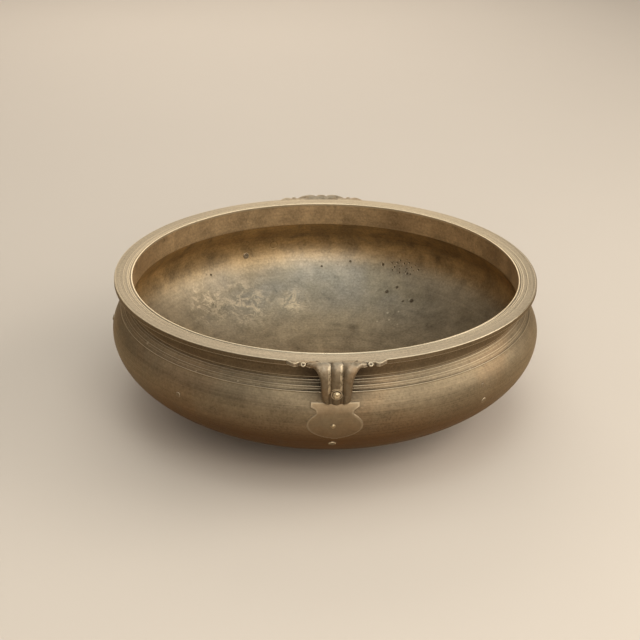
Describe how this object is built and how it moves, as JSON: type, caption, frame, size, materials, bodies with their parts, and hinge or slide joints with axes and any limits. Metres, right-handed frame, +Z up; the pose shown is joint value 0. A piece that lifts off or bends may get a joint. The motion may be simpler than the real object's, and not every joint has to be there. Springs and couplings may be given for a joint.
{
  "type": "brass urli bowl",
  "caption": "Wide shallow cast brass bowl with a flat rim, short neck, raised ridges, round belly and a riveted strap lug with a shield plate on each side.",
  "frame": {"origin": "middle of the base's flat underside", "axes": "+Z up along the bowl's axis, the lugs on -Y (front) and +Y (back), +X to the right seen from the front"},
  "size_m": [0.4264, 0.4474, 0.1454],
  "materials": {
    "cast_brass": "aged olive-brown patina, satin, with fine turning lines and a paler worn rim",
    "lug_brass": "aged cast surface, worn paler on the ribs",
    "plate_brass": "dark brown patina, satin",
    "rivet_brass": "worn bright on the heads",
    "plug_brass": "hammered flush, aged as the wall"
  },
  "bodies": {
    "root": {"bowl_body": "cast_brass", "front_lug": "lug_brass", "front_lug_washer": "lug_brass", "front_lug_rivet": "rivet_brass", "front_shield_plate": "plate_brass", "front_plate_rivet": "rivet_brass", "front_tail_rivet": "rivet_brass", "back_lug": "lug_brass", "back_lug_washer": "lug_brass", "back_lug_rivet": "rivet_brass", "back_shield_plate": "plate_brass", "back_plate_rivet": "rivet_brass", "back_tail_rivet": "rivet_brass", "wall_plug_front_left": "plug_brass", "wall_plug_front_right": "plug_brass", "wall_plug_low_right": "plug_brass", "wall_plug_left": "plug_brass", "wall_plug_back_left": "plug_brass"}
  },
  "joints": []
}
